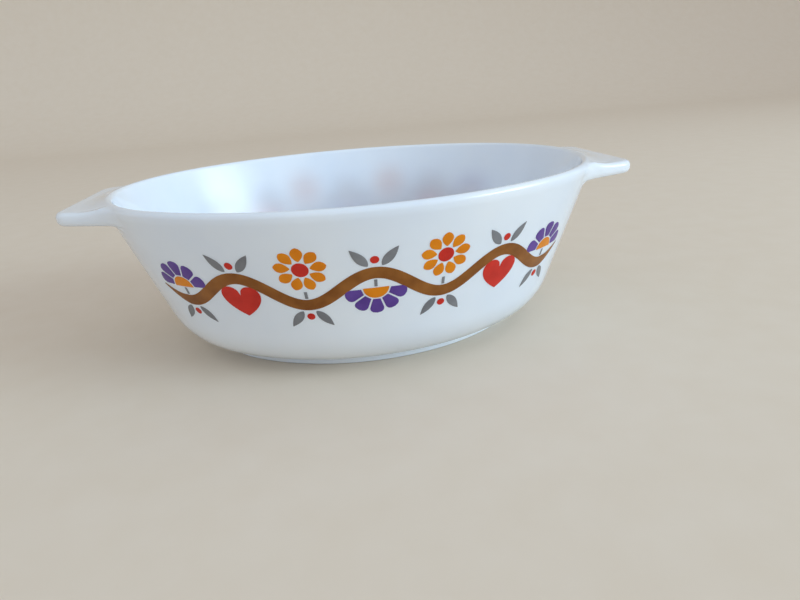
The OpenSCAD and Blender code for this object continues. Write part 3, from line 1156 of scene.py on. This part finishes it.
    def hearts(self) -> list[Piece]:
        """Model the hearts, the eyes of the daisies and a berry on each crest.

        Returns:
            The flat patches.
        """
        band = self.band
        hearts = [(band.motif_at(row, band.heart_gap), band.facing(row)) for row in band.rows_of(Motif.HEART)]
        eyes = [(self.daisy_middle(row), 0.0) for row in band.rows_of(Motif.DAISY)]
        berries = [(band.crest_at(row, band.berry_radius + band.berry_gap), 0.0) for row in band.rows]
        return (self.set_out(self.heart(), hearts) + self.set_out(self.disc("eye", band.daisy_eye), eyes)
                + self.set_out(self.disc("berry", band.berry_radius), berries))

    def flat_layer(self, colour: Enamel) -> list[Piece]:
        """Model the flat patches of one colour."""
        return {Enamel.VINE: self.vine, Enamel.LEAVES: self.leaves, Enamel.DAISIES: self.daisies,
                Enamel.FANS: self.fans, Enamel.HEARTS: self.hearts}[colour]()

    def build(self, colour: Enamel) -> tuple[Piece, Piece]:
        """Join one colour's patches and lay them on both long sides.

        Args:
            colour: The printed colour.

        Returns:
            The front layer and the back layer.
        """
        patches = self.flat_layer(colour)
        take_up(patches[0])
        for patch in patches:
            patch.select_set(True)
        bpy.ops.object.join()
        layer = bpy.context.object
        put_places(layer.data, self.band.wrap(places_of(layer.data)))
        take_up(layer)
        bpy.ops.object.shade_smooth_by_angle(angle=self.crease)
        front, back = self.set_out(layer, [(Vector(), 0.0), (Vector(), math.pi)])
        front.name = front.data.name = f"front_{colour.layer}_enamel"
        back.name = back.data.name = f"back_{colour.layer}_enamel"
        return front, back

    def dress(self, colour: Enamel, layers: tuple[Piece, Piece]) -> None:
        """Give both layers of a colour their enamel.

        Args:
            colour: The printed colour.
            layers: The front layer and the back layer.
        """
        material = colour.finish().material()
        for side, layer in zip(("front", "back"), layers):
            layer.data.materials.clear()
            layer.data.materials.append(material)
            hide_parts(f"{side}_{colour.layer}")
            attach(layer, BODY)

    def shadow(self, colour: Enamel, layers: tuple[Piece, Piece]) -> PrintShadow:
        """Measure what a colour takes out of the light behind the wall, for the shadow painted on the glass.

        Args:
            colour: The printed colour.
            layers: The front layer and the back layer.

        Returns:
            The painted shadow of both layers.
        """
        faces = [layer.data.polygons for layer in layers]
        centres = np.vstack([read(some, "center", 3)[::self.shadow_stride] for some in faces])
        areas = np.concatenate([read(some, "area", 1)[::self.shadow_stride, 0] for some in faces])
        # A patch has an upper and a lower face, so only half of the area counts.
        areas *= self.shadow_stride / 2
        return PrintShadow(centres, areas, np.array(srgb(colour.tone)[:3]), self.band.section.wall)


@dataclass(frozen=True)
class Paper:
    """The plain pale sheet that the dish stands on."""

    name: str = "pale_paper"
    tone: str = "E4D9CA"
    fibre_tone: str = "DFD2C0"
    fibre_scale: float = 60.0
    fibre_detail: float = 5.0
    roughness: float = 0.85
    specular: float = 0.2

    def material(self) -> bpy.types.Material:
        """Make the sheet's material.

        Returns:
            The new material.
        """
        material = bpy.data.materials.new(self.name)
        material.use_nodes = True
        bench = NodeBench(material.node_tree)
        place = bench.add("ShaderNodeTexCoord").outputs["Object"]
        fibre = bench.add("ShaderNodeTexNoise", {"Vector": place, "Scale": self.fibre_scale,
                                                 "Detail": self.fibre_detail})
        colour = bench.mix(fibre.outputs["Fac"], srgb(self.tone), srgb(self.fibre_tone))
        shader = bench.add("ShaderNodeBsdfPrincipled", {"Base Color": colour, "Roughness": self.roughness,
                                                        "Specular IOR Level": self.specular})
        bench.add("ShaderNodeOutputMaterial", {"Surface": shader.outputs["BSDF"]})
        return material


@dataclass(frozen=True)
class Lamp:
    """One soft lamp, a panel that faces the dish and fades towards its edges."""

    name: str
    place: tuple[float, float, float]
    width: float
    height: float
    power: float
    colour: tuple[float, float, float]
    spread: float = math.radians(80)
    middle: tuple[float, float, float] = (0.5, 0.5, 0.0)
    fade_start: float = 0.1
    fade_end: float = 0.5
    fade_gain: float = 2.5

    def build(self, aim: Vector) -> Piece:
        """Hang the lamp.

        Args:
            aim: What the lamp faces.

        Returns:
            The lamp.
        """
        bpy.ops.object.light_add(type="AREA", location=self.place)
        lamp = bpy.context.object
        lamp.name = self.name
        set_all(lamp.data, shape="RECTANGLE", size=self.width, size_y=self.height, energy=self.power,
                spread=self.spread, color=self.colour, use_nodes=True)
        bench = NodeBench(lamp.data.node_tree)
        place = bench.add("ShaderNodeNewGeometry").outputs["Parametric"]
        away = bench.add("ShaderNodeVectorMath", {"Vector": place, "Vector_001": self.middle}, operation="DISTANCE")
        fade = bench.add("ShaderNodeMapRange", {"Value": away.outputs["Value"], "From Min": self.fade_end,
                                                "From Max": self.fade_start, "To Max": self.fade_gain},
                         interpolation_type="SMOOTHSTEP")
        glow = bench.add("ShaderNodeEmission", {"Strength": fade.outputs["Result"]})
        bench.add("ShaderNodeOutputLight", {"Surface": glow.outputs["Emission"]})
        lamp.rotation_euler = (aim - lamp.location).to_track_quat("-Z", "Y").to_euler()
        return lamp


@dataclass(frozen=True)
class PhotoCamera:
    """The camera where the photograph was taken, found from the rim, the tabs and the foot."""

    place: tuple[float, float, float] = (-14.598 * MM, -266.723 * MM, 108.614 * MM)
    yaw: float = 0.1178
    pitch: float = 0.3616
    roll: float = -0.0738
    focal_pixels: float = 585.93
    sensor: float = 36.0

    def build(self) -> Piece:
        """Set up the camera and make it the scene's own.

        Returns:
            The camera.
        """
        bpy.ops.object.camera_add()
        camera = bpy.context.object
        set_all(camera.data, sensor_fit="HORIZONTAL", sensor_width=self.sensor, clip_start=MM,
                lens=self.focal_pixels / PHOTO_WIDTH * self.sensor)
        forward = Vector((math.sin(self.yaw) * math.cos(self.pitch), math.cos(self.yaw) * math.cos(self.pitch),
                          -math.sin(self.pitch)))
        right = Vector((math.cos(self.yaw), -math.sin(self.yaw), 0))
        level = Matrix((right, right.cross(forward), -forward)).transposed()
        turned = level @ Matrix.Rotation(self.roll, 3, "Z")
        camera.matrix_world = Matrix.Translation(self.place) @ turned.to_4x4()
        bpy.context.scene.camera = camera
        return camera


@dataclass
class Studio:
    """Pale sweep, soft lamps and an even sky."""

    reach: float = 3.0
    back: float = 1.6
    bend: float = 0.5
    bend_steps: int = 16
    drop: float = 0.1 * MM
    sky_tone: str = "ECF1F8"
    sky_strength: float = 0.78
    paper: Paper = Paper()
    lamps: tuple[Lamp, ...] = (
        Lamp("window", place=(2.0, -1.0, 0.8), width=2.4, height=1.5, power=9.5, colour=(0.7, 0.88, 1.0)),
    )

    def build_sweep(self) -> Piece:
        """Model the floor and the wall behind it as one bent sheet.

        Returns:
            The sheet.
        """
        bpy.ops.mesh.primitive_plane_add(size=2)
        sweep = bpy.context.object
        sweep.name = sweep.data.name = "sweep"
        places = places_of(sweep.data)
        put_places(sweep.data, np.column_stack([places[:, 0] * self.reach,
                                                np.where(places[:, 1] > 0, self.back, -self.reach),
                                                np.full(len(places), -self.drop)]))
        select_edges(sweep.data, lambda first, second: min(first.y, second.y) > 0)
        with edit_mode(sweep, everything=False):
            bpy.ops.mesh.extrude_region_move(TRANSFORM_OT_translate={"value": (0, 0, self.reach)})
        select_edges(sweep.data, lambda first, second: min(first.y, second.y) > 0 > max(first.z, second.z))
        with edit_mode(sweep, everything=False):
            bpy.ops.mesh.bevel(offset=self.bend, segments=self.bend_steps, affect="EDGES")
        take_up(sweep)
        bpy.ops.object.shade_smooth()
        return sweep

    def build(self) -> None:
        """Set up the sweep, the lamps, the sky and the camera."""
        sweep = self.build_sweep()
        sweep.data.materials.append(self.paper.material())
        aim = Vector((0, 0, (CAD_BOX[0].z + CAD_BOX[1].z) / 2))
        for lamp in self.lamps:
            lamp.build(aim)
        scene = bpy.context.scene
        scene.world = bpy.data.worlds.new("sky")
        scene.world.use_nodes = True
        sky = scene.world.node_tree.nodes["Background"]
        sky.inputs["Color"].default_value = srgb(self.sky_tone)
        sky.inputs["Strength"].default_value = self.sky_strength
        PhotoCamera().build()
        scene.view_settings.view_transform = "Standard"


def main() -> None:
    """Build the dish and its print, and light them."""
    logging.basicConfig(level=logging.INFO, format="%(name)s: %(message)s")
    _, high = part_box("dish")
    tab_reach = 13.5 * MM
    tab_drop = 2.5 * MM
    oval = Oval(high.x - tab_reach, high.y)
    section = WallSection(high.z)
    tab = TabHandle(oval, section, high.x, high.z - tab_drop)

    enamel = EnamelPrint(Band(oval, section))
    # Each colour's shadow is painted onto the inner face of the glass.
    shadows = []
    for colour in Enamel:
        layers = enamel.build(colour)
        enamel.dress(colour, layers)
        shadows.append(enamel.shadow(colour, layers))
        LOG.info("%s: %d faces on each side", colour.layer, len(layers[0].data.polygons))

    dish = Dish(oval, section, tab)
    piece = dish.build()
    dish.dress(piece, shadows)
    LOG.info("%s: %d faces", piece.name, len(piece.data.polygons))

    Studio().build()


if __name__ == "__main__":
    main()
